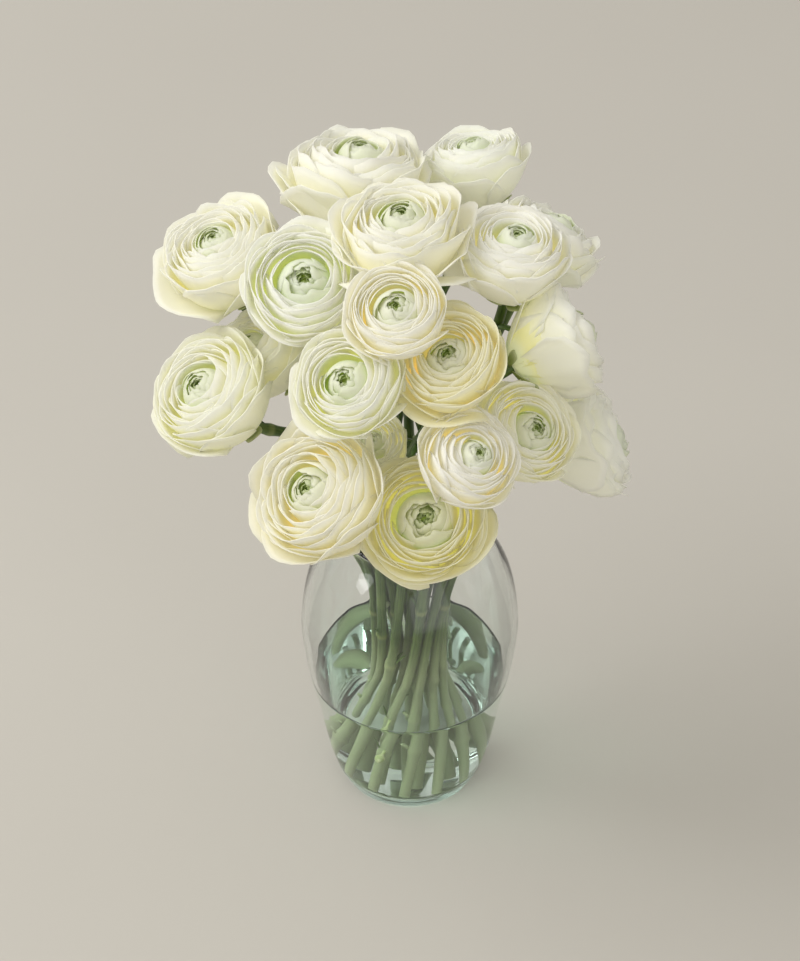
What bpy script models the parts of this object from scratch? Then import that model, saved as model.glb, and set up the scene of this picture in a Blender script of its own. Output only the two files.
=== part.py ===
"""Ranunculus bouquet in a glass vase: nineteen cut flowers standing in water.

Units are metres, +Z is up, and the origin is the middle of the vase's flat foot.
Every flower is a stem, a ball of petals and a heart of tightly furled petals. The
stems lean in one spiral through three levels: the vase floor, the waist of the
bundle under the water, and the mouth of the vase.
"""

import math

import bmesh
import bpy
from mathutils import Vector

MM = 0.001
GAP = 0.3 * MM  # between faces that touch

# The vase: (radius, height) down the outside, and the thickness of its glass.
VASE_OUTLINE = [
    (41.0, 205.5),
    (40.2, 203.0),
    (39.6, 198.0),
    (42.5, 192.5),
    (51.5, 183.0),
    (59.0, 172.0),
    (64.0, 158.0),
    (67.0, 139.0),
    (67.8, 120.0),
    (64.2, 90.0),
    (58.0, 60.0),
    (52.6, 30.0),
    (48.0, 12.0),
    (44.5, 4.0),
    (41.5, 0.0),
]
GLASS_WALL = 3.0 * MM
GLASS_FLOOR = 8.0 * MM
FLOOR_CORNER = 7.0 * MM
WATER_LEVEL = 87.0 * MM
VASE_STEPS = 28

# The stems: three rings of places, and where each ring stands at each level.
STEM_RADIUS = 3.0 * MM
NECK_RADIUS = 4.2 * MM  # where the stem widens under its flower
NECK_LENGTH = 9.0 * MM
FOOT_LIFT = 1.3 * MM  # middle of the cut end above the glass floor
PLACES = {"middle": (1, 0.0), "inner": (6, 15.0), "outer": (12, 0.0)}  # count, first angle
LEVELS = [
    # height, radius of the inner ring, radius of the outer ring, twist in degrees
    (GLASS_FLOOR + FOOT_LIFT, 18.0 * MM, 35.0 * MM, -35.0),
    (105.0 * MM, 10.0 * MM, 20.0 * MM, 0.0),
    (200.0 * MM, 14.5 * MM, 29.0 * MM, 22.0),
]
RISE_POINTS = 8  # along the free length above the mouth

# The flowers: middle of the ball of petals, its radius, which way its face looks
# (azimuth from +X, and angle above level), the stem's place, and how far the stem runs
# on before it bends: out of the mouth and under the flower, as shares of its free length.
FLOWERS = [
    ((-32, 50, 432), 33, (85, 75), ("middle", 0), (0.2, 0.12)),
    ((36, 77, 421), 27, (120, 70), ("outer", 3), (0.4, 0.12)),
    ((-114, 16, 403), 30, (-170, 70), ("inner", 1), (0.6, 0.5)),
    ((-63, -35, 426), 28, (-95, 60), ("inner", 2), (0.4, 0.4)),
    ((-8, -19, 446), 32, (175, 85), ("outer", 5), (0.4, 0.12)),
    ((58, -17, 433), 30, (5, 85), ("inner", 4), (0.4, 0.3)),
    ((80, 26, 405), 26, (40, 50), ("outer", 0), (0.5, 0.5)),
    ((84, -42, 388), 29, (25, 20), ("outer", 8), (0.5, 0.4)),
    ((103, -32, 299), 32, (10, 15), ("inner", 5), (0.6, 0.3)),
    ((-8, -75, 437), 25, (-110, 65), ("outer", 2), (0.6, 0.12)),
    ((21, -82, 406), 28, (-115, 65), ("inner", 3), (0.5, 0.2)),
    ((-38, -93, 399), 28, (-120, 55), ("inner", 0), (0.7, 0.12)),
    ((-119, -50, 353), 31, (-150, 55), ("outer", 11), (0.6, 0.4)),
    ((-86, -11, 357), 25, (-165, 50), ("outer", 4), (0.7, 0.3)),
    ((-57, -110, 334), 33, (-140, 50), ("outer", 7), (0.2, 0.12)),
    ((8, -113, 313), 33, (-95, 50), ("outer", 9), (0.6, 0.3)),
    ((32, -119, 364), 26, (-50, 60), ("outer", 1), (0.7, 0.12)),
    ((68, -83, 355), 27, (-45, 55), ("outer", 10), (0.4, 0.12)),
    ((-26, -72, 339), 21, (-105, 65), ("outer", 6), (0.5, 0.3)),
]

# A ball of petals, in shares of its radius.
SQUAT = 0.66  # half height over radius
BASE_RADIUS = 0.20
RIM_ANGLE = 52.0  # where the outermost petals stop, above the widest ring
CUP_WALL = [(0.52, 0.50), (0.44, 0.20), (0.34, -0.08)]  # radius, height
HEART_TOP = [(0.30, 0.60), (0.46, 0.46)]
HEART_HEIGHT = 0.63
BALL_STEPS = 10

COLOURS = {
    # base colour, roughness, alpha
    "glass": ((0.86, 0.93, 0.90), 0.05, 0.30),
    "water": ((0.72, 0.86, 0.78), 0.02, 0.35),
    "stem": ((0.20, 0.30, 0.11), 0.50, 1.0),
    "petals": ((0.91, 0.89, 0.78), 0.60, 1.0),
    "heart": ((0.62, 0.70, 0.34), 0.60, 1.0),
}


def clear_scene():
    for obj in list(bpy.data.objects):
        bpy.data.objects.remove(obj, do_unlink=True)


def new_collection(name):
    made = bpy.data.collections.new(name)
    bpy.context.scene.collection.children.link(made)
    return made


def new_material(name):
    colour, roughness, alpha = COLOURS[name]
    made = bpy.data.materials.new(name)
    made.use_nodes = True
    shader = made.node_tree.nodes["Principled BSDF"]
    shader.inputs["Base Color"].default_value = (*colour, 1.0)
    shader.inputs["Roughness"].default_value = roughness
    shader.inputs["Metallic"].default_value = 0.0
    shader.inputs["Alpha"].default_value = alpha
    return made


def turned(name, profile, steps, material, collection):
    """A solid of revolution about its own Z from a profile of (radius, height), top to bottom."""
    mesh = bpy.data.meshes.new(name)
    points = [(radius, 0.0, height) for radius, height in profile]
    edges = [(i, i + 1) for i in range(len(points) - 1)]
    mesh.from_pydata(points, edges, [])
    mesh.materials.append(material)
    obj = bpy.data.objects.new(name, mesh)
    collection.objects.link(obj)
    screw = obj.modifiers.new("turn", "SCREW")
    screw.axis = "Z"
    screw.steps = steps
    screw.render_steps = steps
    screw.use_merge_vertices = True
    screw.merge_threshold = 0.00005
    screw.use_smooth_shade = True
    return obj


def tube(name, points, radii, material, collection):
    """A round bar along a path, with a radius at each point and closed ends."""
    curve = bpy.data.curves.new(name, "CURVE")
    curve.dimensions = "3D"
    curve.bevel_depth = 1.0
    curve.bevel_resolution = 2
    curve.use_fill_caps = True
    spline = curve.splines.new("POLY")
    spline.points.add(len(points) - 1)
    for point, place, radius in zip(spline.points, points, radii):
        point.co = (*place, 1.0)
        point.radius = radius
    curve.materials.append(material)
    obj = bpy.data.objects.new(name, curve)
    collection.objects.link(obj)
    return obj


def as_mesh(obj, collection):
    """The same shape as a welded mesh object, in place of the curve."""
    bpy.context.view_layer.update()
    evaluated = obj.evaluated_get(bpy.context.evaluated_depsgraph_get())
    mesh = bpy.data.meshes.new_from_object(evaluated)
    cleaned = bmesh.new()
    cleaned.from_mesh(mesh)
    bmesh.ops.remove_doubles(cleaned, verts=cleaned.verts, dist=0.00001)
    cleaned.to_mesh(mesh)
    cleaned.free()
    name = obj.name
    made = bpy.data.objects.new(name + "_solid", mesh)
    made.matrix_world = obj.matrix_world
    bpy.data.objects.remove(obj, do_unlink=True)
    made.name = name
    collection.objects.link(made)
    return made


def outer_radius(height):
    """The vase's outside radius at a height, straight between the outline's points."""
    rows = [(z * MM, radius * MM) for radius, z in VASE_OUTLINE]
    for (high, r_high), (low, r_low) in zip(rows, rows[1:]):
        if low <= height <= high:
            share = (height - low) / (high - low)
            return r_low + share * (r_high - r_low)
    raise ValueError(f"no outline at {height}")


def floor_corner(inset):
    """The rounded corner between wall and glass floor, moved in by inset, as (radius, height)."""
    start = outer_radius(GLASS_FLOOR + FLOOR_CORNER) - GLASS_WALL
    corner = []
    for degrees in (0, 30, 60, 90):
        angle = math.radians(degrees)
        radius = start - FLOOR_CORNER * (1 - math.cos(angle)) - inset
        height = GLASS_FLOOR + FLOOR_CORNER * (1 - math.sin(angle)) + inset
        corner.append((radius, height))
    return corner


def build_vase(collection, material):
    outside = [(radius * MM, height * MM) for radius, height in VASE_OUTLINE]
    top = outside[0][1]
    lip = (outside[0][0] - GLASS_WALL / 2, top + 0.5 * MM)
    inside = [(r - GLASS_WALL, z) for r, z in outside if z > GLASS_FLOOR + FLOOR_CORNER]
    profile = [(0.0, GLASS_FLOOR)] + floor_corner(0.0)[::-1] + inside[::-1]
    profile += [lip] + outside + [(0.0, 0.0)]
    return turned("vase", profile, VASE_STEPS, material, collection)


def build_water(collection, material):
    """The water up to its level, clear of the glass, with room for every stem."""
    inset = GLASS_WALL + GAP
    heights = [z * MM for _, z in VASE_OUTLINE if GLASS_FLOOR + FLOOR_CORNER < z * MM < WATER_LEVEL]
    side = [(outer_radius(WATER_LEVEL) - inset, WATER_LEVEL)]
    side += [(outer_radius(z) - inset, z) for z in heights]
    corner = floor_corner(GAP)
    profile = [(0.0, WATER_LEVEL)] + side + corner + [(0.0, corner[-1][1])]
    return turned("water", profile, VASE_STEPS, material, collection)


def stem_place(place, level):
    """Where a stem stands at a level: places count round their ring, and the rings twist."""
    ring, number = place
    height, inner, outer, twist = LEVELS[level]
    radius = {"middle": 0.0, "inner": inner, "outer": outer}[ring]
    count, first = PLACES[ring]
    angle = math.radians(first + 360.0 * number / count + twist)
    return Vector((radius * math.cos(angle), radius * math.sin(angle), height))


def facing(azimuth, rise):
    azimuth, rise = math.radians(azimuth), math.radians(rise)
    level = math.cos(rise)
    return Vector((level * math.cos(azimuth), level * math.sin(azimuth), math.sin(rise)))


def stem_route(middle, radius, look, place, leads):
    """Foot, waist and mouth, then one smooth bend that meets the flower along its axis."""
    foot, waist, mouth = (stem_place(place, level) for level in range(3))
    top = middle - look * (radius * SQUAT + GAP)
    free = (top - mouth).length
    out_lead = mouth + (mouth - waist).normalized() * free * leads[0]
    in_lead = top - look * free * leads[1]
    points = [foot, waist, mouth]
    for step in range(1, RISE_POINTS):
        t = step / RISE_POINTS
        s = 1.0 - t
        points.append(
            s**3 * mouth + 3 * s**2 * t * out_lead + 3 * s * t**2 * in_lead + t**3 * top
        )
    points.append(top - look * NECK_LENGTH)
    points.append(top)
    if (points[-2] - points[-3]).length < NECK_LENGTH:
        points.pop(-3)
    return points


def build_stem(number, route, collection, material):
    radii = [STEM_RADIUS] * (len(route) - 1) + [NECK_RADIUS]
    return tube(f"stem_{number:02d}", route, radii, material, collection)


def cut_room(water, routes, cutters, material):
    """Takes the room of every stem out of the water."""
    for number, route in enumerate(routes, 1):
        lean = (route[1] - route[0]).normalized()
        path = [route[0] - lean * GAP] + route[1:3]
        radii = [STEM_RADIUS + GAP] * len(path)
        cutter = as_mesh(tube(f"room_{number:02d}", path, radii, material, cutters), cutters)
        cutter.hide_render = True
        cutter.display_type = "WIRE"
        cut = water.modifiers.new(cutter.name, "BOOLEAN")
        cut.operation = "DIFFERENCE"
        cut.solver = "EXACT"
        cut.object = cutter


def ball_profile(radius):
    """The petals: round outside, with the heart's cup in the top."""
    outside = []
    for degrees in range(int(RIM_ANGLE), -80, -22):
        angle = math.radians(degrees)
        outside.append((radius * math.cos(angle) ** 0.9, radius * SQUAT * math.sin(angle)))
    low = -radius * SQUAT
    cup = [(radius * r, radius * z) for r, z in CUP_WALL]
    floor = cup[-1][1]
    return [(0.0, floor)] + cup[::-1] + outside + [(radius * BASE_RADIUS, low), (0.0, low)]


def heart_profile(radius):
    """The furled heart, which fills the cup and stands a little above its rim."""
    dome = [(radius * r, radius * z) for r, z in HEART_TOP]
    wall = [(radius * r - 2 * GAP, radius * z + GAP) for r, z in CUP_WALL]
    return [(0.0, radius * HEART_HEIGHT)] + dome + wall + [(0.0, wall[-1][1])]


def build_flower(number, flower, collection, materials):
    place_mm, radius_mm, look_angles, place, leads = flower
    middle = Vector(place_mm) * MM
    radius = radius_mm * MM
    look = facing(*look_angles)
    turn = look.to_track_quat("Z", "Y")
    petals = turned(
        f"petals_{number:02d}", ball_profile(radius), BALL_STEPS, materials["petals"], collection
    )
    heart = turned(
        f"heart_{number:02d}", heart_profile(radius), BALL_STEPS, materials["heart"], collection
    )
    for obj in (petals, heart):
        obj.location = middle
        obj.rotation_mode = "QUATERNION"
        obj.rotation_quaternion = turn
    route = stem_route(middle, radius, look, place, leads)
    build_stem(number, route, collection, materials["stem"])
    return route


def main():
    clear_scene()
    parts = new_collection("ranunculus_vase")
    cutters = new_collection("cutters")
    materials = {name: new_material(name) for name in COLOURS}
    build_vase(parts, materials["glass"])
    water = build_water(parts, materials["water"])
    routes = [
        build_flower(number, flower, parts, materials)
        for number, flower in enumerate(FLOWERS, 1)
    ]
    cut_room(water, routes, cutters, materials["water"])


main()
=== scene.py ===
"""The looks of a bunch of white ranunculus in a glass vase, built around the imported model.

Metres, +Z up, the origin in the middle of the vase's foot. The sections follow the
bunch as it is put together: vase, water, stems, small leaves, balls of petals, hearts and
sepals. The floor, the light and the camera come last.
"""

import math

import bmesh
import bpy
import numpy as np
from mathutils import Matrix, Vector


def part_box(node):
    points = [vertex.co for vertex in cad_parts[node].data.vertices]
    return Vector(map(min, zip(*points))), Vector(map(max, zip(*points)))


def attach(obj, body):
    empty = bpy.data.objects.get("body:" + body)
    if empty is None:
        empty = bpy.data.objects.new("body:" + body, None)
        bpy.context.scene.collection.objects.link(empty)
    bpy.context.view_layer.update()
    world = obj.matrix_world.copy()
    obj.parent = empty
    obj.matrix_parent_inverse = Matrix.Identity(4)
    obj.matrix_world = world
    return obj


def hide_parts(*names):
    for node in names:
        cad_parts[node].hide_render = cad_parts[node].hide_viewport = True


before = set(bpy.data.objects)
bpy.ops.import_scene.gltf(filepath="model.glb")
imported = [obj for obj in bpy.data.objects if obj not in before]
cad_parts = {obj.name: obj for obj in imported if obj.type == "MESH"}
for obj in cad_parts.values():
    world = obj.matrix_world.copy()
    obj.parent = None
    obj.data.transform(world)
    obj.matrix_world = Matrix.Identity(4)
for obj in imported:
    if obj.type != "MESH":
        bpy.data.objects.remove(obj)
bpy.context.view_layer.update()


# ---- The glass vase ---------------------------------------------------------------------
# One piece of blown glass: a barrel body drawn in to a short neck, a fire-rounded rim, a
# wall of 3 mm, and a thick floor whose depth of glass shows green. It stands on its foot.

MM = 0.001


class Wire:
    """An output of a node tree: a sum written with it adds Math nodes, node() adds any other."""

    def __init__(self, tree, socket=None):
        self.tree = tree
        self.socket = socket

    def node(self, kind, settings=(), links=(), output=0):
        """Adds a node: first its settings, then the values or wires of its sockets."""
        made = self.tree.nodes.new(kind)
        for name, value in dict(settings).items():
            setattr(made, name, value)
        for key, value in dict(links).items():
            if isinstance(value, Wire):
                self.tree.links.new(value.socket, made.inputs[key])
            else:
                made.inputs[key].default_value = value
        return Wire(self.tree, made.outputs[output] if made.outputs else None)

    def out(self, key):
        """Another output of the same node."""
        return Wire(self.tree, self.socket.node.outputs[key])

    def math(self, operation, *values):
        return self.node("ShaderNodeMath", {"operation": operation}, dict(enumerate(values)))

    def __add__(self, other):
        return self.math("ADD", self, other)

    def __sub__(self, other):
        return self.math("SUBTRACT", self, other)

    def __rsub__(self, other):
        return self.math("SUBTRACT", other, self)

    def __mul__(self, other):
        return self.math("MULTIPLY", self, other)

    def __truediv__(self, other):
        return self.math("DIVIDE", self, other)

    def __pow__(self, other):
        return self.math("POWER", self, other)

    __radd__ = __add__
    __rmul__ = __mul__

    def sine(self):
        return self.math("SINE", self)

    def cosine(self):
        return self.math("COSINE", self)

    def at_least(self, low):
        return self.math("MAXIMUM", self, low)

    def ramp(self, start, end):
        """0 before start and 1 past end, with a soft turn at both."""
        links = {"Value": self, "From Min": start, "From Max": end}
        return self.node("ShaderNodeMapRange", {"interpolation_type": "SMOOTHSTEP"}, links)


def blend(share, first, second):
    """A colour between two, which are each a wire or three numbers."""
    sides = [c if isinstance(c, Wire) else (*c, 1.0) for c in (first, second)]
    return share.node("ShaderNodeMix", {"data_type": "RGBA"}, {0: share, 6: sides[0], 7: sides[1]}, 2)


def material(name):
    """An empty material, and its tree as a wire to add nodes to."""
    made = bpy.data.materials.new(name)
    made.use_nodes = True
    made.node_tree.nodes.clear()
    return made, Wire(made.node_tree)


def noise(tree, where, scale, detail=2.0):
    """Soft blotches between 0 and 1, the size of one over the scale."""
    return tree.node("ShaderNodeTexNoise", {}, {"Vector": where, "Scale": scale, "Detail": detail})


def own_place(tree):
    """Where a point of the surface lies, in its object's coordinates."""
    return tree.node("ShaderNodeTexCoord").out("Object")


def clear_material(name, tint, index, depth_colour, depth, blotches):
    """Something that light passes: a tinted skin, and a colour that grows with depth."""
    made, tree = material(name)
    blotch = noise(tree, own_place(tree), blotches)
    skin = tree.node("ShaderNodeBsdfPrincipled", {}, {
        "Base Color": blend(blotch.ramp(0.35, 0.7), tint, (1.0, 1.0, 1.0)),
        "Roughness": blotch.ramp(0.55, 0.8) * 0.012,
        "IOR": index,
        "Transmission Weight": 1.0,
    })
    shade = tree.node("ShaderNodeBsdfTransparent", {}, {"Color": (*tint, 1.0)})
    is_shadow = tree.node("ShaderNodeLightPath").out("Is Shadow Ray")
    both = tree.node("ShaderNodeMixShader", {}, {0: is_shadow, 1: skin, 2: shade})
    inside = tree.node("ShaderNodeVolumeAbsorption", {}, {"Color": (*depth_colour, 1.0), "Density": depth})
    tree.node("ShaderNodeOutputMaterial", {}, {"Surface": both, "Volume": inside})
    return made


def smooth_path(points, parts):
    """A Catmull-Rom curve through the points, with this many parts to each stretch."""
    ends = [2 * points[0] - points[1], *points, 2 * points[-1] - points[-2]]
    path = []
    for a, b, c, d in zip(ends, ends[1:], ends[2:], ends[3:]):
        for t in np.arange(parts) / parts:
            path.append(b + (c - a) * t / 2 + (a - 2.5 * b + 2 * c - d / 2) * t**2
                        + (1.5 * (b - c) + (d - a) / 2) * t**3)
    return path + [ends[-2]]


def turned(name, section, steps, finish):
    """Turns a section of (radius, height), from pole to pole, outside first, about the axis."""
    build = bmesh.new()
    rings = []
    for radius, height in section:
        angles = [2 * math.pi * k / steps for k in range(steps if radius > 1e-6 else 1)]
        rings.append([build.verts.new((radius * math.cos(a), radius * math.sin(a), height)) for a in angles])
    for low, high in zip(rings, rings[1:]):
        for k in range(steps):
            corners = [low[k % len(low)], low[(k + 1) % len(low)]]
            corners += [high[(k + 1) % len(high)], high[k % len(high)]]
            build.faces.new(dict.fromkeys(corners))
    mesh = bpy.data.meshes.new(name)
    build.to_mesh(mesh)
    build.free()
    mesh.shade_smooth()
    mesh.materials.append(finish)
    piece = bpy.data.objects.new(name, mesh)
    bpy.context.scene.collection.objects.link(piece)
    return piece


vase_low, vase_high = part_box("vase")
WIDEST = (vase_high.x - vase_low.x) / 2
TALL = vase_high.z
STEPS_ROUND = 96
WALL = 3.0 * MM
GLASS_FLOOR = 8.0 * MM
RIM = WALL / 2
# The outside, as shares of the widest radius and of the height, from foot to rim.
OUTLINE = [
    (0.655, 0.019), (0.71, 0.06), (0.776, 0.146), (0.855, 0.292), (0.947, 0.438),
    (1.0, 0.584), (0.988, 0.676), (0.944, 0.769), (0.87, 0.837), (0.76, 0.89),
    (0.627, 0.937), (0.585, 0.964), (0.593, 0.988), (0.605, 0.9927),
]
outside = smooth_path([np.array([r * WIDEST, h * TALL]) for r, h in OUTLINE], 6)
outside_radii, outside_heights = zip(*outside)


def inside_radius(height):
    """Radius of the vase's inner wall at a height."""
    return float(np.interp(height, outside_heights, outside_radii)) - WALL


FLOOR_CURVE = 9.0 * MM  # radius of the corner between the inner wall and the glass floor
FOOT_TOUCH = (0.58, 0.612)  # the ring it stands on: its two radii over the widest one
FOOT_EDGE = (0.638, 1.2 * MM)  # the soft edge round that ring: its radius and its height
FOOT_HOLLOW = 0.5 * MM  # how far the middle of the foot is off the ground
corner = [math.radians(a) for a in range(0, 91, 10)]
corner_radius = inside_radius(GLASS_FLOOR + FLOOR_CURVE)
section = [(0.0, FOOT_HOLLOW), (FOOT_TOUCH[0] * 0.9 * WIDEST, FOOT_HOLLOW)]
section += [(share * WIDEST, 0.0) for share in FOOT_TOUCH] + [(FOOT_EDGE[0] * WIDEST, FOOT_EDGE[1])]
section += [tuple(point) for point in outside[:-1]]
rim_middle = (outside[-1][0] - RIM, TALL - RIM)
section += [(rim_middle[0] + RIM * math.cos(math.radians(a)), rim_middle[1] + RIM * math.sin(math.radians(a)))
            for a in range(0, 181, 30)]
section += [(inside_radius(h), h) for h in reversed(outside_heights[:-2]) if h > GLASS_FLOOR + FLOOR_CURVE]
section += [(corner_radius - FLOOR_CURVE * (1 - math.cos(a)), GLASS_FLOOR + FLOOR_CURVE * (1 - math.sin(a)))
            for a in corner]
section += [(0.0, GLASS_FLOOR)]

glass = clear_material("clear_glass", tint=(0.975, 0.992, 0.984), index=1.5,
                       depth_colour=(0.45, 0.80, 0.70), depth=9.0, blotches=30.0)
vase = turned("glass_vase", section, STEPS_ROUND, glass)
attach(vase, "root")
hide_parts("vase")


# ---- The water --------------------------------------------------------------------------
# Still water to just above the middle of the barrel, faintly green. Its edge climbs the
# glass a little, and its skin lies a hair inside the wall, so no film of air shows.

WATER_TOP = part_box("water")[1].z
BITE = 0.3 * MM  # how far its skin lies inside the wall
CLIMB = 0.5 * MM  # how high its edge climbs the glass
CLIMB_WIDTH = 1.6 * MM
CLIMB_POWER = 2.5
WATER_GAP = 1.5 * MM  # between the curved corner and the first ring up the wall
WATER_RINGS = 24
corner_out = corner_radius + BITE
wet = [(0.0, GLASS_FLOOR - BITE)]
wet += [(corner_out - FLOOR_CURVE * (1 - math.cos(a)), GLASS_FLOOR - BITE + FLOOR_CURVE * (1 - math.sin(a)))
        for a in reversed(corner)]
wet_heights = np.linspace(GLASS_FLOOR + FLOOR_CURVE + WATER_GAP, WATER_TOP + CLIMB, WATER_RINGS)
wet += [(inside_radius(h) + BITE, h) for h in wet_heights]
edge = wet[-1][0]
wet += [(edge - CLIMB_WIDTH * s, WATER_TOP + CLIMB * (1 - s) ** CLIMB_POWER)
        for s in (0.15, 0.3, 0.5, 0.75, 1.0)]
wet += [(edge * s, WATER_TOP) for s in (0.7, 0.35, 0.0)]

pond = clear_material("still_water", tint=(0.97, 1.0, 0.98), index=1.333,
                      depth_colour=(0.62, 0.83, 0.70), depth=3.0, blotches=14.0)
water = turned("vase_water", wet, STEPS_ROUND, pond)
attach(water, "root")
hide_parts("water")


# ---- The stems --------------------------------------------------------------------------
# Nineteen cut stems, each grown in one piece with its joints, cut side shoots and a few
# small leaves. They stand on the glass floor, lean in one spiral, and rest in the mouth.

def new_rule(name, inputs):
    """A geometry tree with these named inputs, and the wires that carry them."""
    tree = bpy.data.node_groups.new(name, "GeometryNodeTree")
    kinds = {int: "NodeSocketInt", float: "NodeSocketFloat", bpy.types.Material: "NodeSocketMaterial"}
    tree.interface.new_socket("Geometry", in_out="OUTPUT", socket_type="NodeSocketGeometry")
    tree.interface.new_socket("Geometry", in_out="INPUT", socket_type="NodeSocketGeometry")
    for label, value in inputs.items():
        made = tree.interface.new_socket(label, in_out="INPUT", socket_type=kinds[type(value)])
        made.default_value = value
    source = tree.nodes.new("NodeGroupInput")
    return tree, {socket.name: Wire(tree, socket) for socket in source.outputs if socket.name}


def finish_rule(geometry, finish):
    """Ends a tree: plain geometry, shaded smooth, in its material."""
    real = geometry.node("GeometryNodeRealizeInstances", {}, {0: geometry})
    smooth = real.node("GeometryNodeSetShadeSmooth", {}, {0: real})
    dressed = smooth.node("GeometryNodeSetMaterial", {}, {"Geometry": smooth, "Material": finish})
    dressed.node("NodeGroupOutput", {}, {0: dressed})


def named(geometry, kind, **fields):
    """Keeps fields on the geometry's points, for the materials."""
    for label, value in fields.items():
        settings = {"data_type": kind, "domain": "POINT"}
        geometry = geometry.node("GeometryNodeStoreNamedAttribute", settings,
                                 {"Geometry": geometry, "Name": label, "Value": value})
    return geometry


def grow(name, tree, values, mesh=None, thickness=0.0):
    """Runs a tree, and keeps what it makes as a plain mesh."""
    piece = bpy.data.objects.new(name, mesh or bpy.data.meshes.new(name))
    bpy.context.scene.collection.objects.link(piece)
    rule = piece.modifiers.new("rule", "NODES")
    rule.node_group = tree
    for item in tree.interface.items_tree:
        if item.in_out == "INPUT" and item.name in values:
            rule[item.identifier] = values[item.name]
    if thickness:
        wall = piece.modifiers.new("wall", "SOLIDIFY")
        wall.thickness = thickness
        wall.offset = 0.0
    seen = piece.evaluated_get(bpy.context.evaluated_depsgraph_get())
    made = bpy.data.meshes.new_from_object(seen)
    made.name = name
    piece.modifiers.clear()
    piece.data = made
    return piece


def chance(tree, number, seed, low, high):
    """A number between low and high that is fixed by an element's number and the seed."""
    return tree.node("FunctionNodeRandomValue", {"data_type": "FLOAT"},
                     {2: low, 3: high, "ID": number, "Seed": seed}, 1)


def vector(tree, x=0.0, y=0.0, z=0.0):
    return tree.node("ShaderNodeCombineXYZ", {}, {0: x, 1: y, 2: z})


def moved(geometry, offset):
    return geometry.node("GeometryNodeSetPosition", {}, {"Geometry": geometry, "Offset": offset})


def leaf_shape(tree, length, width):
    """A narrow pointed leaf, rising along Z and bending over towards X."""
    blade = tree.node("GeometryNodeMeshGrid", {}, {0: 2.0, 1: 1.0, 2: 5, 3: 9})
    spot = tree.node("ShaderNodeSeparateXYZ", {}, {0: tree.node("GeometryNodeInputPosition")})
    across = spot
    along = spot.out(1) + 0.5
    half = (along * math.pi * 0.93 + 0.12).sine() ** 0.8 * width / 2
    bend = along * along * length * 0.45
    cup = across * across * half * 0.5
    place = vector(tree, bend + cup, across * half, along * length)
    blade = named(blade, "FLOAT", leaf=along * 0.5 + 0.5)
    return blade.node("GeometryNodeSetPosition", {}, {"Geometry": blade, "Position": place})


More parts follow.
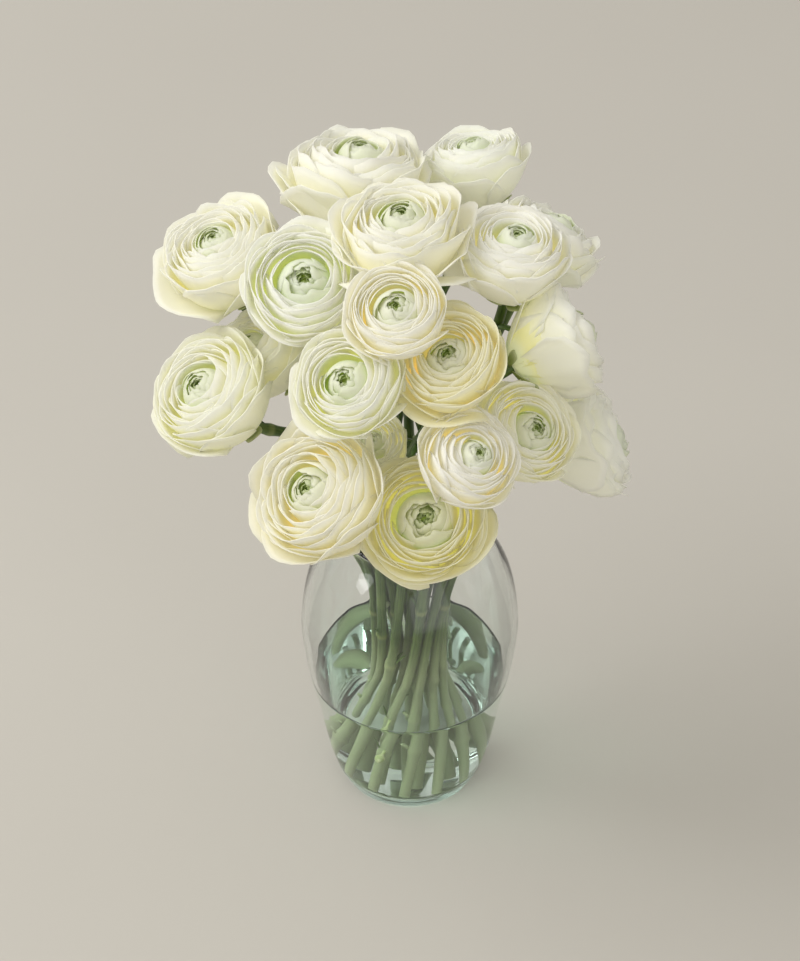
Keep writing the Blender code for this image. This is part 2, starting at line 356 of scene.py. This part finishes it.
def stem_rule():
    """Skins a path: a round, faintly ribbed stem with swollen joints, stubs and small leaves."""
    tree, given = new_rule("stem", {
        "Radius": 3.0 * MM, "Neck": 4.2 * MM, "Neck Length": 13.0 * MM, "Joints": 5, "Swelling": 0.34,
        "Knuckle": 5.0 * MM, "Zigzag": 1.4 * MM, "Ring Gap": 2.5 * MM, "Seed": 1, "Leaf": 15.0 * MM,
        "Leaf Share": 0.4, "Finish": green_stem,
    })
    start = Wire(tree)
    seed = given["Seed"]
    path = start.node("GeometryNodeMeshToCurve", {}, {0: given["Geometry"]})
    path = start.node("GeometryNodeCurveSplineType", {"spline_type": "CATMULL_ROM"}, {"Curve": path})
    path = start.node("GeometryNodeResampleCurve", {"mode": "LENGTH"},
                      {"Curve": path, "Length": given["Ring Gap"]})
    factor = start.node("GeometryNodeSplineParameter")
    run = factor.out("Length")
    whole = start.node("GeometryNodeCurveLength", {}, {0: path})
    joint = start.math("FLOOR", factor * given["Joints"])
    joint_at = (joint + chance(start, joint, seed, 0.25, 0.75)) / given["Joints"]
    off = (factor - joint_at) * whole / given["Knuckle"]
    knuckle = (off * off + 1) ** -2.0
    lump = start.node("ShaderNodeTexNoise", {"noise_dimensions": "4D"}, {
        "Vector": start.node("GeometryNodeInputPosition"), "W": seed, "Scale": 45.0, "Detail": 1.0})
    near_top = (whole - run).ramp(given["Neck Length"], given["Radius"])
    radius = given["Radius"] * (0.94 + lump * 0.14 + knuckle * given["Swelling"])
    radius = radius + near_top * (given["Neck"] - given["Radius"])
    zigzag = (factor * given["Joints"] * math.pi + seed).sine() * given["Zigzag"]
    held = factor.ramp(0.0, 0.15) * factor.ramp(1.0, 0.85)
    path = moved(path, vector(start, zigzag * held, zigzag * held * (seed * 2.1).cosine(), 0.0))
    path = named(path, "FLOAT", rise=run, joint=knuckle)
    ring = start.node("GeometryNodeCurvePrimitiveCircle", {}, {"Resolution": 14, "Radius": 1.0})
    ring = named(ring, "FLOAT_VECTOR", around=start.node("GeometryNodeInputPosition"))
    skin = start.node("GeometryNodeCurveToMesh", {}, {
        "Curve": path, "Profile Curve": ring, "Scale": radius, "Fill Caps": True})

    spots = start.node("GeometryNodePoints", {}, {"Count": given["Joints"]})
    index = start.node("GeometryNodeInputIndex")
    at = (index + chance(start, index, seed, 0.25, 0.75)) / given["Joints"]
    sample = start.node("GeometryNodeSampleCurve", {"mode": "FACTOR"}, {"Curves": path, "Factor": at}, 1)
    spots = start.node("GeometryNodeSetPosition", {}, {"Geometry": spots, "Position": sample})
    upright = start.node("FunctionNodeAlignRotationToVector", {"axis": "Z"},
                         {"Vector": sample.out("Tangent")})
    spin = vector(start, 0.0, 0.0, chance(start, index, seed + 7, 0.0, 6.28))
    facing = start.node("FunctionNodeRotateRotation", {"rotation_space": "LOCAL"}, {0: upright, 1: spin})
    has_leaf = start.math("LESS_THAN", chance(start, index, seed + 3, 0.0, 1.0), given["Leaf Share"])
    leaf = leaf_shape(start, given["Leaf"], given["Leaf"] * 0.24)
    leaf = moved(leaf, vector(start, given["Radius"] * 0.9, 0.0, 0.0))
    twin = start.node("GeometryNodeTransform", {}, {
        "Geometry": leaf, "Rotation": (0.0, 0.0, 0.8), "Scale": (0.75, 0.75, 0.7)})
    leaves = start.node("GeometryNodeJoinGeometry", {}, {0: leaf})
    tree.links.new(twin.socket, leaves.socket.node.inputs[0])
    grown = start.node("GeometryNodeInstanceOnPoints", {}, {
        "Points": spots, "Selection": has_leaf, "Instance": leaves, "Rotation": facing,
        "Scale": chance(start, index, seed + 4, 0.6, 1.15)})
    stub = start.node("GeometryNodeMeshCone", {}, {
        "Vertices": 10, "Radius Top": given["Radius"] * 0.5, "Radius Bottom": given["Radius"] * 0.7,
        "Depth": given["Radius"] * 3.0})
    stub = named(stub, "FLOAT", joint=0.8)
    stub = start.node("GeometryNodeTransform", {}, {
        "Geometry": stub, "Translation": vector(start, given["Radius"] * 1.15, 0.0, given["Radius"] * 0.7),
        "Rotation": (0.0, 0.75, 0.0)})
    cut = start.node("GeometryNodeInstanceOnPoints", {}, {
        "Points": spots, "Selection": 1 - has_leaf, "Instance": stub, "Rotation": facing,
        "Scale": chance(start, index, seed + 5, 0.55, 1.0)})
    whole_stem = start.node("GeometryNodeJoinGeometry", {}, {0: skin})
    for part in (grown, cut):
        tree.links.new(part.socket, whole_stem.socket.node.inputs[0])
    finish_rule(whole_stem, given["Finish"])
    return tree


def attribute(tree, name, output="Fac"):
    return tree.node("ShaderNodeAttribute", {"attribute_name": name}).out(output)


# Fresh green skin: fine ribs along it, paler joints, and soft pale green under water.
green_stem, tree = material("fresh_green_stem")
around = attribute(tree, "around", "Vector")
rise = attribute(tree, "rise") + attribute(tree, "leaf")
ribs = tree.node("ShaderNodeTexNoise", {"noise_dimensions": "4D"}, {
    "Vector": around, "W": rise * 6.0, "Scale": 5.0, "Detail": 3.0})
patches = noise(tree, own_place(tree), 60.0, 3.0)
SOAKED = (0.125, 0.07)  # metres up the stem: where the pale skin starts, and where it is full
skin = blend(ribs.ramp(0.38, 0.66), (0.042, 0.085, 0.012), (0.110, 0.175, 0.036))
skin = blend(patches.ramp(0.45, 0.75) * 0.5, skin, (0.150, 0.215, 0.060))
skin = blend(attribute(tree, "joint").ramp(0.5, 1.0) * 0.45, skin, (0.34, 0.38, 0.14))
skin = blend(attribute(tree, "leaf").ramp(0.3, 0.6), skin, (0.10, 0.19, 0.035))
skin = blend(rise.ramp(*SOAKED) * 0.8, skin, (0.43, 0.50, 0.28))
lines = tree.node("ShaderNodeBump", {}, {"Height": ribs, "Strength": 0.35, "Distance": 0.4 * MM})
body = tree.node("ShaderNodeBsdfPrincipled", {}, {
    "Base Color": skin, "Roughness": 0.36 + patches * 0.2, "Normal": lines, "Specular IOR Level": 0.45,
    "Coat Weight": 0.08})
tree.node("ShaderNodeOutputMaterial", {}, {"Surface": body})

stem_tree = stem_rule()


FIRST_RING = 2.5 * MM  # how far above its lowest point a tube's slanted cut end reaches


def centre_line(node):
    """The middles of a CAD tube's rings of points, from its cut end up to its flower."""
    build = bmesh.new()
    build.from_mesh(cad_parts[node].data)
    bmesh.ops.remove_doubles(build, verts=build.verts, dist=0.01 * MM)
    foot = min(vert.co.z for vert in build.verts)
    ring = [vert for vert in build.verts if vert.co.z < foot + FIRST_RING]
    seen = set(ring)
    middles = []
    while ring:
        middles.append(sum((vert.co for vert in ring), Vector()) / len(ring))
        beyond = {edge.other_vert(vert) for vert in ring for edge in vert.link_edges}
        ring = [vert for vert in beyond if vert not in seen]
        seen.update(ring)
    build.free()
    return middles


FLOWERS = range(1, 20)
STEM_RADIUS = 3.0 * MM
BARE = {1, 5}  # stems that show no leaf
for number in FLOWERS:
    middles = centre_line(f"stem_{number:02d}")
    head = (middles[-1] - middles[-2]).normalized()
    middles.append(middles[-1] + head * STEM_RADIUS)
    path = bpy.data.meshes.new("path")
    path.from_pydata(middles, [(k, k + 1) for k in range(len(middles) - 1)], [])
    stem = grow(f"green_stem_{number:02d}", stem_tree, {
        "Seed": number * 5, "Joints": 3 + number % 2, "Leaf Share": 0.0 if number in BARE else 0.4}, path)
    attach(stem, "root")
    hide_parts(f"stem_{number:02d}")


# ---- The small leaves -------------------------------------------------------------------
# A few leaves lobed like a hand, under the blooms, and one side bud down in the water. Each
# grew from a joint of its stem.

SIDE_BLADES = ((0.9, 0.2, 0.75), (-0.8, 0.25, 0.65))  # turn and lean in radians, size
LEAF_WALL = 0.4 * MM


def leaf_rule():
    """Three narrow blades that fan out from one point, rising along Z."""
    tree, given = new_rule("leaf", {"Length": 14.0 * MM, "Width": 0.3, "Finish": green_stem})
    start = Wire(tree)
    blade = leaf_shape(start, given["Length"], given["Length"] * given["Width"])
    hand = start.node("GeometryNodeJoinGeometry", {}, {0: blade})
    for turn, lean, size in SIDE_BLADES:
        lobe = start.node("GeometryNodeTransform", {}, {
            "Geometry": blade, "Rotation": (turn, lean, 0.0), "Scale": (size, size, size)})
        tree.links.new(lobe.socket, hand.socket.node.inputs[0])
    finish_rule(hand, given["Finish"])
    return tree


def joint_frame(number, share, facing, lean):
    """A place on a stem's skin: Z leans out from the stem, towards the side it faces."""
    middles = np.array(centre_line(f"stem_{number:02d}"))
    run = np.insert(np.cumsum(np.linalg.norm(np.diff(middles, axis=0), axis=1)), 0, 0.0)
    spot, beyond = (Vector([float(np.interp(s * run[-1], run, middles[:, k])) for k in range(3)])
                    for s in (share, share + 0.02))
    up = (beyond - spot).normalized()
    side = Vector((math.cos(facing), math.sin(facing), 0.0))
    side = (side - up * side.dot(up)).normalized()
    axes = Matrix((side, up.cross(side), up)).transposed().to_4x4()
    return Matrix.Translation(spot + side * STEM_RADIUS * 0.7) @ axes @ Matrix.Rotation(lean, 4, "Y")


# stem, share of its length, side it faces in degrees, length in mm, width over length
LEAVES = [(8, 0.73, -120, 15.0, 0.36), (11, 0.75, -60, 13.0, 0.40), (6, 0.92, -70, 20.0, 0.42),
          (2, 0.96, -100, 17.0, 0.30), (4, 0.83, -130, 11.0, 0.34), (13, 0.86, -40, 12.0, 0.30)]
LEAF_LEAN = math.radians(30)
leaf_tree = leaf_rule()
for number, share, facing, length, width in LEAVES:
    leaf = grow(f"small_leaf_{number:02d}", leaf_tree, {"Length": length * MM, "Width": width},
                thickness=LEAF_WALL)
    leaf.data.transform(joint_frame(number, share, math.radians(facing), LEAF_LEAN))
    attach(leaf, "root")
    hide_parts(f"stem_{number:02d}")

BUD_STEM = 16
BUD_SPOT = (0.13, math.radians(-110), math.radians(120))  # share of the stem, side it faces, lean
# The bud as a section of (radius, height) in mm: a thin stalk, then an egg that ends in a point.
BUD = [(0, 0), (1.1, 0), (0.9, 3), (0.9, 6), (1.6, 7), (2.7, 9), (3.0, 11), (2.5, 13.5),
       (1.3, 15.5), (0, 16.5)]
bud_skin, tree = material("bud_skin")
where = own_place(tree)
body = tree.node("ShaderNodeBsdfPrincipled", {}, {
    "Base Color": blend(noise(tree, where, 300.0).ramp(0.35, 0.7), (0.42, 0.52, 0.20), (0.70, 0.74, 0.42)),
    "Roughness": 0.4 + noise(tree, where, 90.0) * 0.2})
tree.node("ShaderNodeOutputMaterial", {}, {"Surface": body})
bud = turned("side_bud", [(r * MM, h * MM) for r, h in BUD], 20, bud_skin)
bud.data.transform(joint_frame(BUD_STEM, *BUD_SPOT))
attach(bud, "root")
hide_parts(f"stem_{BUD_STEM:02d}")


# ---- The balls of petals ----------------------------------------------------------------
# Each bloom is a ball of thin overlapping petals, joined at its base and wound outwards a
# golden angle at a time. The inner ones furl over the heart, the guard petals stand away.

GOLDEN_ANGLE = math.radians(137.508)


def whorl_rule(finish):
    """Winds petals round Z on a ball of the given radius, innermost first."""
    tree, given = new_rule("whorl", {
        "Petals": 34, "Seed": 1, "Radius": 35.0 * MM, "Core": 0.56, "Base": -0.84, "Furl In": 131.0,
        "Furl Out": 94.0, "Furl Power": 1.1, "Width In": 88.0, "Width Out": 60.0, "Top In": 0.54,
        "Top Rise": 0.12, "Top Fall": 0.34, "Ripple": 0.03, "Guard": 0.24, "Flare": 0.10, "Dip": 0.24,
        "Frill": 0.014, "Tuck": 0.045, "Lift": 0.0, "Warmth": 0.5, "Painted Shade": 0.3,
        "Finish": finish,
    })
    start = Wire(tree)
    sheet = start.node("GeometryNodeMeshGrid", {}, {0: 2.0, 1: 1.0, 2: 17, 3: 11})
    one = start.node("GeometryNodeGeometryToInstance", {}, {0: sheet})
    many = start.node("GeometryNodeDuplicateElements", {"domain": "INSTANCE"},
                      {"Geometry": one, "Amount": given["Petals"]})
    many = start.node("GeometryNodeStoreNamedAttribute", {"data_type": "FLOAT", "domain": "INSTANCE"},
                      {"Geometry": many, "Name": "number", "Value": many.out("Duplicate Index")})
    petals = start.node("GeometryNodeRealizeInstances", {}, {0: many})
    number = start.node("GeometryNodeInputNamedAttribute", {"data_type": "FLOAT"}, {"Name": "number"})
    spot = start.node("ShaderNodeSeparateXYZ", {}, {0: start.node("GeometryNodeInputPosition")})
    across = spot
    along = spot.out(1) + 0.5
    layer = number / (given["Petals"] - 1.0)

    def luck(key, low, high):
        return chance(start, number, given["Seed"] * 31 + key, low, high)

    early = (1 - layer) ** given["Furl Power"]
    guard = ((layer - 1 + given["Guard"]) / given["Guard"]).at_least(0.0)
    furl = given["Furl Out"] + (given["Furl In"] - given["Furl Out"]) * early
    furl = (furl - guard * 12 * luck(7, 0.2, 1.4) + luck(12, -5.0, 5.0)) * math.radians(1)
    width = given["Width Out"] + (given["Width In"] - given["Width Out"]) * early
    width = width * math.radians(1) * luck(1, 0.85, 1.12)
    shoulder = across.math("ABSOLUTE", across) ** 4.5
    nicks = (across * 5 + luck(2, 0.0, 6.28)).sine() + (across * 13 + luck(8, 0.0, 6.28)).sine() * 0.5
    reach = 1 - shoulder * given["Dip"] + nicks * given["Frill"] * (0.4 + layer) + luck(3, -0.03, 0.02)
    theta = (0.14 + along * 0.86) * reach * furl
    top = given["Top In"] + given["Top Rise"] * layer - given["Top Fall"] * layer * layer
    top = top + luck(13, -1.0, 1.0) * (0.035 + layer * layer * 0.09)
    climbed = (1 - theta.cosine()) / (1 - furl.cosine())
    late = along * along * along
    wave = (across * luck(5, 3.0, 5.5) + luck(6, 0.0, 6.28)).sine() * late * given["Ripple"]
    lip = ((along - 0.84) / 0.16).at_least(0.0)
    away = guard * late * given["Flare"] * luck(10, 0.3, 1.2)
    shell = given["Core"] + (1 - given["Core"]) * layer ** 0.9
    shell = shell + (across * given["Tuck"] + luck(4, -0.016, 0.016)) * along
    rho = (shell + wave * (0.35 + layer * 0.65) + lip * lip * 0.022) * theta.sine() + away
    height = given["Lift"] + given["Base"] + (top - given["Base"]) * climbed + wave * layer * 0.6 - away * 0.8
    turn = number * GOLDEN_ANGLE + across * width + luck(9, -0.12, 0.12)
    rho = rho * given["Radius"]
    place = vector(start, rho * turn.cosine(), rho * turn.sine(), height * given["Radius"])
    petals = named(petals, "FLOAT", along=along, across=across, layer=layer, tone=luck(11, 0.0, 1.0),
                   warmth=given["Warmth"], cream=given["Painted Shade"])
    petals = start.node("GeometryNodeSetPosition", {}, {"Geometry": petals, "Position": place})
    finish_rule(petals, given["Finish"])
    return tree


THROUGH_SHARE = 0.30  # how much of its light a petal lets through
PAINTED_GLOW = 0.14  # strength of a painted glow, standing in for light scattered inside a petal; it lifts the shade


def petal_material(name, colours_of, through):
    """A thin satin petal with fine veins along it, lit through in one colour, with a painted glow in its
    depths.
    """
    made, tree = material(name)
    along = attribute(tree, "along")
    veins = tree.node("ShaderNodeTexNoise", {"noise_dimensions": "3D"}, {
        "Vector": vector(tree, attribute(tree, "across") * 14, along * 1.2, attribute(tree, "tone") * 40),
        "Scale": 1.6, "Detail": 3.0})
    colour, painted_glow = colours_of(tree, along, attribute(tree, "layer"), attribute(tree, "warmth"), veins)
    creases = tree.node("ShaderNodeBump", {}, {"Height": veins, "Strength": 0.18, "Distance": 0.5 * MM})
    front = tree.node("ShaderNodeBsdfPrincipled", {}, {
        "Base Color": colour, "Roughness": 0.50 + veins * 0.15, "Normal": creases, "Specular IOR Level": 0.3,
        "Emission Color": painted_glow, "Emission Strength": PAINTED_GLOW})
    lit_through = tree.node("ShaderNodeBsdfTranslucent", {}, {"Color": (*through, 1.0)})
    thin = tree.node("ShaderNodeMixShader", {}, {0: THROUGH_SHARE, 1: front, 2: lit_through})
    tree.node("ShaderNodeOutputMaterial", {}, {"Surface": thin})
    return made


# The colours of a petal. Where there are two, the first is a cool bloom's, the other a warm one's.
DEPTHS = ((0.82, 0.86, 0.40), (0.95, 0.81, 0.42))
BODIES = ((0.91, 0.93, 0.78), (0.96, 0.93, 0.82))
TIPS = ((0.95, 0.96, 0.91), (0.965, 0.955, 0.915))
PALE_BASE = (0.86, 0.88, 0.66)
# the creamier, darker tint of painted shade, for blooms that sit in shade
PAINTED_SHADE_CREAM = (0.90, 0.86, 0.52)
SHELL_WHITE = (0.94, 0.91, 0.83)
# a faint painted glow, over the parts of a petal outside its deep gaps
FAINT_PAINTED_GLOW = (0.32, 0.32, 0.28)


def ivory(tree, along, layer, warmth, veins):
    """White tips, creamy bodies with painted shade, a base between yellow-green and gold deep in the gaps,
    and a painted glow.
    """
    cream = attribute(tree, "cream")
    deep = blend(warmth, *DEPTHS)
    inner = blend(along.ramp(0.25, 0.45), PALE_BASE, deep)
    outer = layer.ramp(0.62, 0.86)
    deep = blend(outer, inner, PALE_BASE)
    body = blend(warmth, *BODIES)
    # Painted shade: a bloom in shade gets a creamier, darker body and tips.
    body = blend(cream, body, PAINTED_SHADE_CREAM)
    tip = blend(warmth, *TIPS)
    tip = blend(attribute(tree, "tone") * 0.35, tip, SHELL_WHITE)
    tip = blend(cream * 0.6, tip, body)
    colour = blend(along.ramp(0.46, 0.82), deep, body)
    colour = blend(along.ramp(0.80, 0.97), colour, tip)
    outside = blend(along.ramp(0.10, 0.5), deep, blend(0.6 + attribute(tree, "tone") * 0.4, body, tip))
    colour = blend(outer, colour, outside)
    colour = blend(veins.ramp(0.45, 0.8) * 0.25, colour, body)
    # Painted glow: the petal's own deep colour, strongest in the gaps deep inside, where it lifts the shade;
    # faint elsewhere.
    painted_glow_share = along.ramp(0.94, 0.60) * layer.ramp(0.90, 0.70)
    return colour, blend(painted_glow_share, FAINT_PAINTED_GLOW, inner)


ivory_petal = petal_material("ivory_petal", ivory, through=(0.94, 0.93, 0.86))
whorl_tree = whorl_rule(ivory_petal)

# How each bloom is open: its size over its CAD ball, its offset to the right and up in mm,
# the outermost furl in degrees, how far its guard petals stand away, how deep they ripple,
# their frill, how golden its depths are, how deep its painted shade is, and its heart's share of it.
BLOOMS = {
    1: (1.25, 0, -2, 84, 0.62, 0.09, 0.022, 0.45, 0.20, 0.38),
    2: (1.13, 3, -2, 92, 0.16, 0.05, 0.014, 0.15, 0.05, 0.38),
    3: (1.20, 5, -3, 90, 0.30, 0.08, 0.018, 0.45, 0.30, 0.37),
    4: (1.20, 2, -4, 92, 0.18, 0.06, 0.014, 0.05, 0.00, 0.50),
    5: (1.12, 3, -2, 88, 0.42, 0.10, 0.022, 0.55, 0.35, 0.46),
    6: (1.10, 0, -5, 88, 0.30, 0.07, 0.016, 0.55, 0.00, 0.38),
    7: (1.16, -3, -2, 88, 0.34, 0.07, 0.032, 0.40, 0.00, 0.42),
    8: (1.18, -4, -2, 66, 0.20, 0.10, 0.026, 0.35, 0.10, 0.45),
    9: (1.06, -1, 0, 72, 0.16, 0.07, 0.026, 0.35, 0.00, 0.45),
    10: (1.15, 1, -3, 97, 0.10, 0.04, 0.010, 0.75, 0.35, 0.50),
    11: (1.15, 2, -3, 93, 0.20, 0.05, 0.012, 0.95, 0.95, 0.43),
    12: (1.13, 5, -2, 93, 0.16, 0.05, 0.014, 0.15, 0.30, 0.48),
    13: (1.18, 6, -2, 93, 0.16, 0.06, 0.014, 0.20, 0.40, 0.40),
    14: (1.18, 0, -8, 91, 0.18, 0.08, 0.016, 0.40, 0.45, 0.42),
    15: (1.20, 8, -6, 92, 0.22, 0.07, 0.020, 0.80, 0.50, 0.39),
    16: (1.10, 0, 0, 80, 0.20, 0.06, 0.014, 0.25, 1.00, 0.48),
    17: (1.10, -1, -2, 96, 0.12, 0.05, 0.014, 0.80, 0.10, 0.38),
    18: (1.15, -5, -5, 93, 0.12, 0.05, 0.014, 0.40, 0.55, 0.44),
    19: (1.00, 4, -8, 92, 0.12, 0.06, 0.014, 0.40, 0.50, 0.42),
}
SPUN = {8: 60.0}  # degrees that a bloom is turned about its stem
PETAL = 0.5 * MM


def points_of(node):
    return np.array([vert.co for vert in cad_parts[node].data.vertices])


def bloom_frame(number):
    """A bloom's place and turn, as a matrix, and its radius, from its two CAD nodes."""
    ball = points_of(f"petals_{number:02d}")
    low = ball.mean(0)
    axis = points_of(f"heart_{number:02d}").mean(0) - low
    axis /= np.linalg.norm(axis)
    heights = (ball - low) @ axis
    spread = np.linalg.norm(ball - low - np.outer(heights, axis), axis=1)
    middle = Vector(low + axis * heights[spread.argmax()])
    turn = Vector(axis).to_track_quat("Z", "Y").to_matrix().to_4x4()
    turn = turn @ Matrix.Rotation(math.radians(SPUN.get(number, 0.0)), 4, "Z")
    size, right, up = BLOOMS[number][:3]
    middle += Vector((right, 0.0, up)) * MM
    return Matrix.Translation(middle) @ turn, float(spread.max()) * size


HEART_GAP = 0.05  # between a heart and the innermost petals, over the bloom's radius
for number in FLOWERS:
    furl, flare, ripple, frill, warmth, cream, share = BLOOMS[number][3:]
    place, radius = bloom_frame(number)
    count = round(52 - 36 * share)  # a large heart leaves room for fewer petals
    ball = grow(f"petal_ball_{number:02d}", whorl_tree, {
        "Seed": number, "Radius": radius, "Petals": count, "Core": share + HEART_GAP,
        "Furl Out": float(furl), "Flare": flare, "Ripple": ripple,
        "Frill": frill, "Warmth": warmth, "Painted Shade": cream}, thickness=PETAL)
    ball.data.transform(place)
    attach(ball, "root")
    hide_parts(f"petals_{number:02d}")


# ---- The hearts -------------------------------------------------------------------------
# The youngest petals, still green: a smooth dome of wide petals wrapped round a small dark
# hole. They grew on the same base, inside the ball.

HEART_TOP = 0.64  # how high it stands, over the bloom's radius
HEART_OFFSET = Vector((0.045, -0.045, -0.03))  # over the radius: the gap opens on one side


# The colours of a young petal. The bodies and tips are a cool bloom's, then a warm one's.
YOUNG_DEPTHS = ((0.30, 0.42, 0.08), (0.74, 0.78, 0.44))  # of the innermost, of the outermost
YOUNG_BODIES = ((0.80, 0.87, 0.62), (0.90, 0.90, 0.74))
YOUNG_TIPS = ((0.90, 0.935, 0.80), (0.94, 0.94, 0.86))
# the creamier tint of painted shade, on the tips of a shaded bloom's heart
YOUNG_PAINTED_SHADE_CREAM = (0.91, 0.88, 0.60)
VEINED_GREENS = ((0.34, 0.46, 0.09), (0.68, 0.76, 0.38))
# a painted green glow, low on a young petal, that lifts its shade
GREEN_PAINTED_GLOW = (0.48, 0.56, 0.12)
NO_GLOW = (0.0, 0.0, 0.0)


def young(tree, along, layer, warmth, veins):
    """White-green outside, with ragged green edges round the hole, dark green deep down, and a painted green
    glow low down.
    """
    deep = blend(layer.ramp(0.4, 0.9), *YOUNG_DEPTHS)
    body = blend(warmth, *YOUNG_BODIES)
    tip = blend(warmth, *YOUNG_TIPS)
    # Painted shade: a shaded bloom's heart gets creamier tips.
    tip = blend(attribute(tree, "cream") * 0.6, tip, YOUNG_PAINTED_SHADE_CREAM)
    colour = blend(along.ramp(0.3, 0.62), deep, body)
    colour = blend(along.ramp(0.7, 0.9), colour, tip)
    middle = blend(veins.ramp(0.4, 0.6), *VEINED_GREENS)
    colour = blend(layer.ramp(0.10, 0.70), middle, colour)
    return colour, blend(along.ramp(0.9, 0.5), NO_GLOW, GREEN_PAINTED_GLOW)


green_petal = petal_material("young_green_petal", young, through=(0.84, 0.88, 0.58))
for number in FLOWERS:
    warmth, cream, share = BLOOMS[number][-3:]
    place, radius = bloom_frame(number)
    heart = grow(f"furled_heart_{number:02d}", whorl_tree, {
        "Seed": number + 50, "Radius": radius * share, "Petals": 16, "Core": 0.22, "Base": -1.0,
        "Furl In": 172.0, "Furl Out": 150.0, "Furl Power": 1.4, "Width In": 80.0, "Width Out": 96.0,
        "Top In": 0.80, "Top Rise": 0.65, "Top Fall": 0.40, "Ripple": 0.03, "Guard": 0.1, "Flare": 0.0,
        "Dip": 0.16, "Frill": 0.03, "Tuck": 0.10, "Lift": HEART_TOP / share - 1.05,
        "Warmth": warmth, "Painted Shade": cream, "Finish": green_petal}, thickness=PETAL)
    heart.data.transform(Matrix.Translation(HEART_OFFSET * radius) @ place)
    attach(heart, "root")
    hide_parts(f"heart_{number:02d}")


# ---- The sepals -------------------------------------------------------------------------
# Five small green sepals at the top of each stem, folded against the underside of the ball.
# They grew with the stem.

SEPAL_GREENS = ((0.30, 0.38, 0.10), (0.46, 0.52, 0.20))
SEPAL_EDGE = (0.66, 0.70, 0.42)
# a faint painted glow towards a sepal's tip
SEPAL_PAINTED_GLOW = (0.02, 0.03, 0.01)


def calyx(tree, along, layer, warmth, veins):
    """Yellow-green with paler edges and darker veins, and a faint painted glow towards the tips."""
    colour = blend(veins.ramp(0.4, 0.7), *SEPAL_GREENS)
    colour = blend(along.ramp(0.6, 1.0), colour, SEPAL_EDGE)
    return colour, blend(along, NO_GLOW, SEPAL_PAINTED_GLOW)


green_sepal = petal_material("green_sepal", calyx, through=(0.36, 0.44, 0.14))
for number in FLOWERS:
    place, radius = bloom_frame(number)
    sepals = grow(f"sepals_{number:02d}", whorl_tree, {
        "Seed": number + 90, "Radius": radius, "Petals": 5, "Core": 1.0, "Base": -0.87, "Furl In": 36.0,
        "Furl Out": 33.0, "Width In": 26.0, "Width Out": 22.0, "Top In": -0.67, "Top Rise": 0.0,
        "Top Fall": 0.0, "Ripple": 0.02, "Guard": 0.9, "Flare": 0.0, "Dip": 0.9, "Frill": 0.01,
        "Finish": green_sepal}, thickness=PETAL)
    sepals.data.transform(place)
    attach(sepals, "root")
    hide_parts(f"stem_{number:02d}")


# ---- The floor --------------------------------------------------------------------------
# A plain pale surface, far wider than the camera sees, with the faintest mottle.

FLOOR_SIZE = 12.0
FLOOR_DROP = 0.15 * MM  # keeps the glass foot and the floor from sharing a plane
FLOOR_TONES = ((0.515, 0.49, 0.44), (0.545, 0.52, 0.47))
pale_floor, tree = material("pale_floor")
mottle = noise(tree, own_place(tree), 3.0)
body = tree.node("ShaderNodeBsdfPrincipled", {}, {
    "Base Color": blend(mottle, *FLOOR_TONES), "Roughness": 0.7 + mottle * 0.1})
tree.node("ShaderNodeOutputMaterial", {}, {"Surface": body})
mesh = bpy.data.meshes.new("floor")
half = FLOOR_SIZE / 2
corners = ((-half, -half), (half, -half), (half, half), (-half, half))
mesh.from_pydata([(x, y, -FLOOR_DROP) for x, y in corners], [], [(0, 1, 2, 3)])
mesh.materials.append(pale_floor)
floor = bpy.data.objects.new("floor", mesh)
bpy.context.scene.collection.objects.link(floor)


# ---- The light --------------------------------------------------------------------------
# A large soft lamp from the upper left, a weaker one from the right, and a pale room.

LAMPS = [
    # place, size, power
    ((-1.6, -0.1, 2.1), 1.8, 38.0),
    ((0.9, -1.9, 1.2), 1.8, 6.0),
]
LIT_POINT = Vector((0, 0, 0.3))
for place, size, power in LAMPS:
    lamp = bpy.data.lights.new("soft_lamp", "AREA")
    lamp.size = size
    lamp.energy = power
    holder = bpy.data.objects.new("soft_lamp", lamp)
    holder.location = place
    holder.rotation_euler = (Vector(place) - LIT_POINT).to_track_quat("Z", "Y").to_euler()
    bpy.context.scene.collection.objects.link(holder)
room = bpy.data.worlds.new("room")
room.use_nodes = True
room.node_tree.nodes["Background"].inputs["Color"].default_value = (0.78, 0.76, 0.72, 1.0)
room.node_tree.nodes["Background"].inputs["Strength"].default_value = 0.85
bpy.context.scene.world = room
bpy.context.scene.view_settings.view_transform = "Standard"
bpy.context.scene.cycles.max_bounces = 24
bpy.context.scene.cycles.diffuse_bounces = 10
bpy.context.scene.cycles.transmission_bounces = 20


# ---- The camera -------------------------------------------------------------------------
# A long lens that looks down on the bunch from the front.

LOOK_DOWN = math.radians(42)
DISTANCE = 2.687
LENS = 165.4
AIM = Vector((-0.0061, 0.0, 0.2418))
back = Vector((0.0, -math.cos(LOOK_DOWN), math.sin(LOOK_DOWN)))
lens = bpy.data.cameras.new("camera")
lens.lens = LENS
lens.sensor_width = 36.0
camera = bpy.data.objects.new("camera", lens)
camera.location = AIM + back * DISTANCE
camera.rotation_euler = back.to_track_quat("Z", "Y").to_euler()
bpy.context.scene.collection.objects.link(camera)
bpy.context.scene.camera = camera
